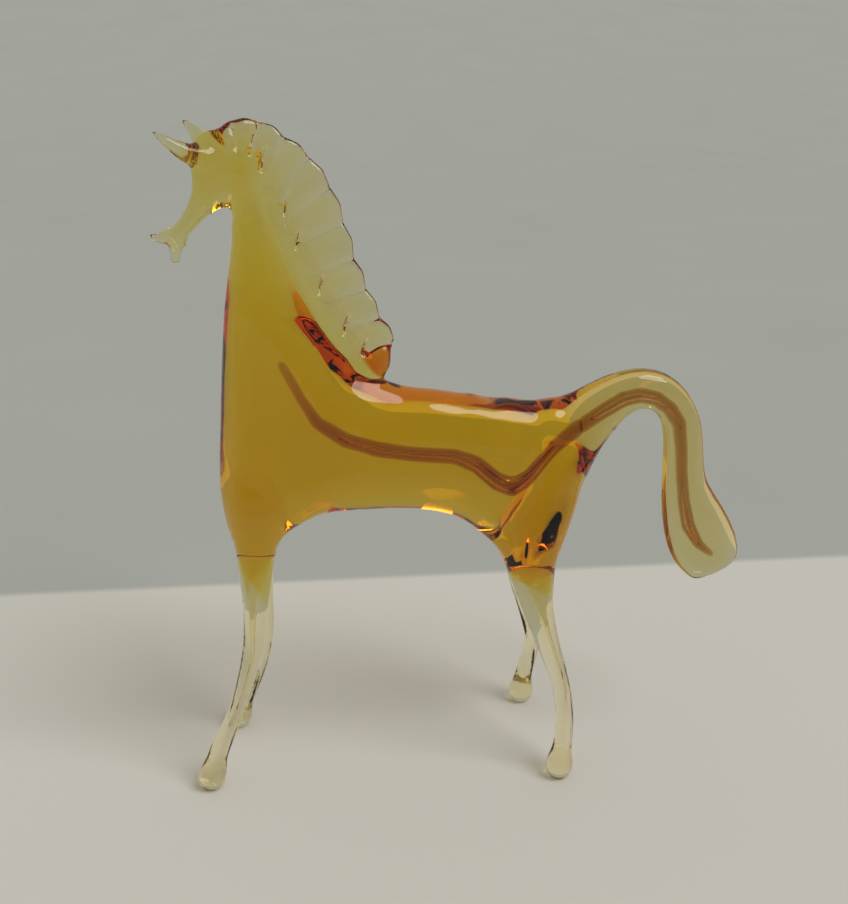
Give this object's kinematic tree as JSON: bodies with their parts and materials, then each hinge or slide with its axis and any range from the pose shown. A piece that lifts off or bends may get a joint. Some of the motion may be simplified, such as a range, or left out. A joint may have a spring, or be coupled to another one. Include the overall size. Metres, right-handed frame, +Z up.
{
  "type": "glass horse figurine",
  "caption": "Free-standing hot-worked amber glass horse with a tall crimped mane, an arched paddle tail and a darker thread of glass inside its body.",
  "frame": {"origin": "centre of the figurine's box, on the surface that the four feet stand on", "axes": "+Z up, -X the way the horse faces, +Y towards its far (right-hand) side as seen with the head to the left"},
  "size_m": [0.1972, 0.0586, 0.2214],
  "materials": {
    "amber_gather": "fire-polished transparent amber glass, thick",
    "pale_amber": "fire-polished transparent amber glass, thin and paler",
    "mane_glass": "fire-polished transparent amber glass ribbon, crimped with tweezers",
    "dark_amber": "fire-polished transparent deep amber glass",
    "pulled_leg_glass": "fire-polished transparent straw glass, pulled into rods",
    "tail_glass": "fire-polished transparent amber glass, pulled and flattened",
    "brown_thread": "transparent brown glass thread cased inside the amber glass"
  },
  "bodies": {
    "root": {"neck_and_chest": "amber_gather", "barrel": "amber_gather", "croup": "amber_gather", "head": "pale_amber", "upper_lip": "pale_amber", "lower_lip": "pale_amber", "near_ear": "pale_amber", "far_ear": "pale_amber", "mane": "mane_glass", "withers_bit": "dark_amber", "near_fore_leg": "pulled_leg_glass", "far_fore_leg": "pulled_leg_glass", "near_hind_leg": "pulled_leg_glass", "far_hind_leg": "pulled_leg_glass", "near_fore_foot": "pulled_leg_glass", "far_fore_foot": "pulled_leg_glass", "near_hind_foot": "pulled_leg_glass", "far_hind_foot": "pulled_leg_glass", "tail_root": "tail_glass", "tail_arch": "tail_glass", "tail_fall": "tail_glass", "tail_paddle": "tail_glass", "body_streak": "brown_thread", "tail_streak": "brown_thread"}
  },
  "joints": []
}
